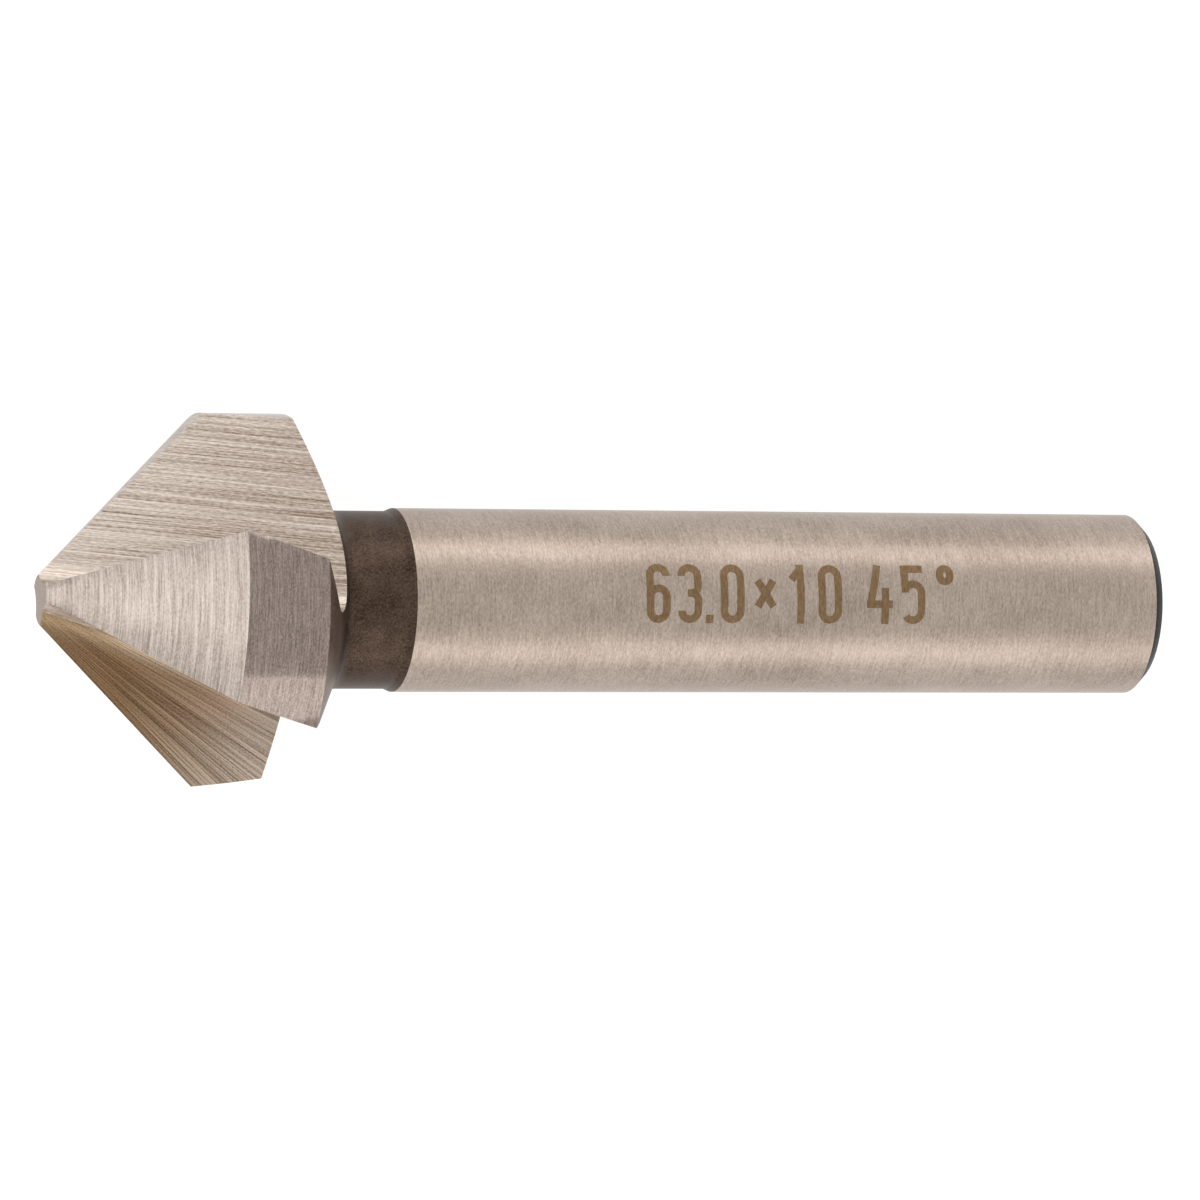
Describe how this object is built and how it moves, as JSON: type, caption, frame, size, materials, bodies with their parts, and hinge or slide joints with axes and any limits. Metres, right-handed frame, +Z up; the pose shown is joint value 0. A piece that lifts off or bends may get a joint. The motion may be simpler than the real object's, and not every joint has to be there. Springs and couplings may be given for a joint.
{
  "type": "countersink bit",
  "caption": "Countersink bit with relieved, fluted cutting teeth on a cone, a straight land behind it, a slim neck and a plain round shank.",
  "frame": {"origin": "middle of the bottom of the bounding box, on the floor the bit lies on", "axes": "+X along the length, from the cutting tip towards the shank's rear end; +Z up"},
  "size_m": [0.0632, 0.0202, 0.0192],
  "materials": {
    "steel": "ground, with dark scale on the neck and behind the head"
  },
  "bodies": {
    "root": {"countersink": "steel"}
  },
  "joints": []
}
